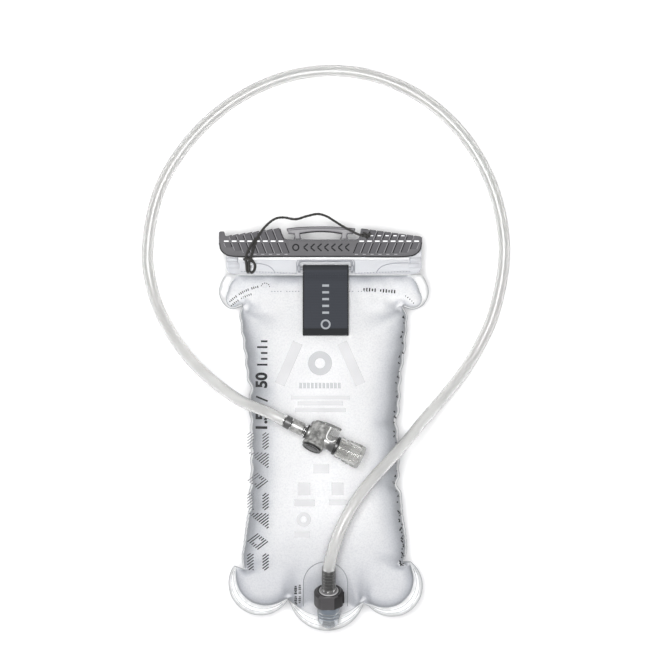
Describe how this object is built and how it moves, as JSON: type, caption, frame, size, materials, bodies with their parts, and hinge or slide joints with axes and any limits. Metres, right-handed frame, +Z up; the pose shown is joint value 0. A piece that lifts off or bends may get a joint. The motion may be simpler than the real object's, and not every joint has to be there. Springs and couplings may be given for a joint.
{
  "type": "hydration bladder",
  "caption": "Frosted film water reservoir with a slide closure, hang loop, quick-release outlet port and a drink tube ending in a shut-off valve and bite valve.",
  "frame": {"origin": "on the resting surface under the middle of the reservoir, measured without the drink tube and the tether", "axes": "+Z up out of the front panel, +Y towards the slide closure, +X to the right seen from the front"},
  "size_m": [0.284, 0.4359, 0.0837],
  "materials": {
    "film": "frosted",
    "clear_rail": "clear, polished",
    "socket": "translucent, polished",
    "grey_plastic": "moulded satin",
    "dark_plastic": "moulded satin",
    "valve_plastic": "translucent, polished",
    "clear_plastic": "clear, polished",
    "tube": "translucent, smooth",
    "silicone": "soft satin",
    "rubber": "matte",
    "webbing": "woven",
    "cord": "braided",
    "steel": "drawn wire"
  },
  "bodies": {
    "reservoir": {"front_panel": "film", "rear_panel": "film", "front_rail": "clear_rail", "rear_rail": "clear_rail", "port_patch": "film", "port_base": "socket", "port_collar": "dark_plastic", "button_spring": "steel", "poppet_spring": "steel", "tether_cord": "cord", "tether_rail_knot": "cord"},
    "slider": {"slider_bar": "grey_plastic", "pull_handle": "grey_plastic", "tether_slider_knot": "cord"},
    "strap": {"hang_loop": "webbing"},
    "button": {"release_button": "dark_plastic"},
    "poppet": {"poppet": "valve_plastic", "poppet_seal": "rubber"},
    "hose": {"plug_body": "dark_plastic", "plug_o_ring_1": "rubber", "plug_o_ring_2": "rubber", "drink_tube": "tube", "valve_body": "valve_plastic"},
    "shutoff": {"valve_spool": "dark_plastic", "spool_o_ring_1": "rubber", "spool_o_ring_2": "rubber", "valve_lever": "clear_plastic"},
    "bite": {"bite_retainer": "clear_plastic", "bite_valve": "silicone"}
  },
  "joints": [
    {"name": "slider_slide", "type": "slide", "parent": "reservoir", "child": "slider", "axis": [-1, 0, 0], "range_m": [0, 0.158], "deforming": ["tether_cord"]},
    {"name": "strap_swing", "type": "hinge", "parent": "reservoir", "child": "strap", "pos_m": [0.0015, 0.123, 0.0342], "axis": [-1, 0, 0], "range_deg": [0, 110]},
    {"name": "button_press", "type": "slide", "parent": "reservoir", "child": "button", "axis": [-1, 0, 0], "range_m": [0, 0.0014], "stiffness_N_per_m": 900, "deforming": ["button_spring"]},
    {"name": "tube_pull", "type": "slide", "parent": "reservoir", "child": "hose", "axis": [0, 0.829, 0.5592], "range_m": [0, 0.02]},
    {"name": "poppet_lift", "type": "slide", "parent": "reservoir", "child": "poppet", "axis": [0, 0.829, 0.5592], "range_m": [0, 0.0019], "deforming": ["poppet_spring"]},
    {"name": "shutoff_turn", "type": "hinge", "parent": "hose", "child": "shutoff", "pos_m": [-0.005, -0.0058, 0.0728], "axis": [-0.4169, -0.8548, 0.309], "range_deg": [0, 90]},
    {"name": "bite_pull", "type": "slide", "parent": "hose", "child": "bite", "axis": [0.8988, -0.4384, 0], "range_m": [0, 0.009]}
  ],
  "couplings": [
    {"joint": "poppet_lift", "follows": "tube_pull", "ratio": 0.095}
  ]
}
